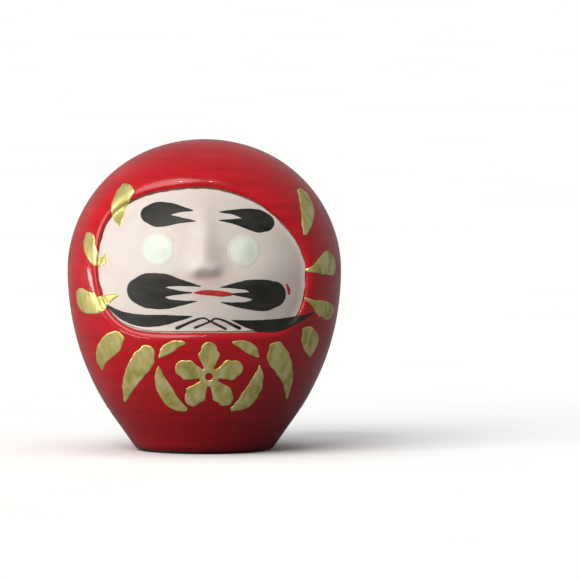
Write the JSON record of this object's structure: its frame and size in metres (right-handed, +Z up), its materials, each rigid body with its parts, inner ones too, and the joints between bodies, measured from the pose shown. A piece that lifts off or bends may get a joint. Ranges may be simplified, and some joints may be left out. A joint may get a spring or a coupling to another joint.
{
  "type": "daruma doll",
  "caption": "Round-bottomed red paper doll with a recessed white bearded face, gold brush strokes and a weighted clay base; a good-luck ornament.",
  "frame": {"origin": "centre of the doll's underside, on the surface it stands on", "axes": "+Z up along the doll's axis, the face looks along -Y, +X is to the right when looking at the face"},
  "size_m": [0.0414, 0.0418, 0.047],
  "materials": {
    "red_lacquer": "glossy red lacquer over a white ground coat, slightly streaked",
    "face_white": "satin pinkish white shell-powder paint",
    "eye_white": "satin greenish white paint in a raised dome",
    "gold_paint": "metallic gold paint laid on with a brush",
    "black_ink": "satin black paint laid on with a brush",
    "lip_red": "satin red-brown paint",
    "paper_shell": "moulded paper pulp, unpainted inside",
    "clay": "dry pressed clay",
    "base_paper": "black paper disc"
  },
  "bodies": {
    "root": {"front_shell": "paper_shell", "back_shell": "paper_shell", "seam_strip": "paper_shell", "base_weight": "clay", "base_disc": "base_paper", "red_coat": "red_lacquer", "face_coat": "face_white", "nose": "face_white", "eye_left": "eye_white", "eye_right": "eye_white", "blossom": "gold_paint", "leaf_left_lower": "gold_paint", "leaf_left_upper": "gold_paint", "leaf_right_lower": "gold_paint", "leaf_right_upper": "gold_paint", "gold_left_1": "gold_paint", "gold_left_2": "gold_paint", "gold_left_3": "gold_paint", "gold_left_4": "gold_paint", "gold_left_5": "gold_paint", "gold_right_1": "gold_paint", "gold_right_2": "gold_paint", "gold_right_3": "gold_paint", "gold_right_4": "gold_paint", "gold_right_5": "gold_paint", "brow_left": "black_ink", "brow_right": "black_ink", "moustache_left": "black_ink", "moustache_right": "black_ink", "beard_left": "black_ink", "beard_right": "black_ink", "chin_whiskers": "black_ink", "mouth": "lip_red", "cheek_tick_left": "lip_red", "cheek_tick_right": "lip_red"}
  },
  "joints": []
}
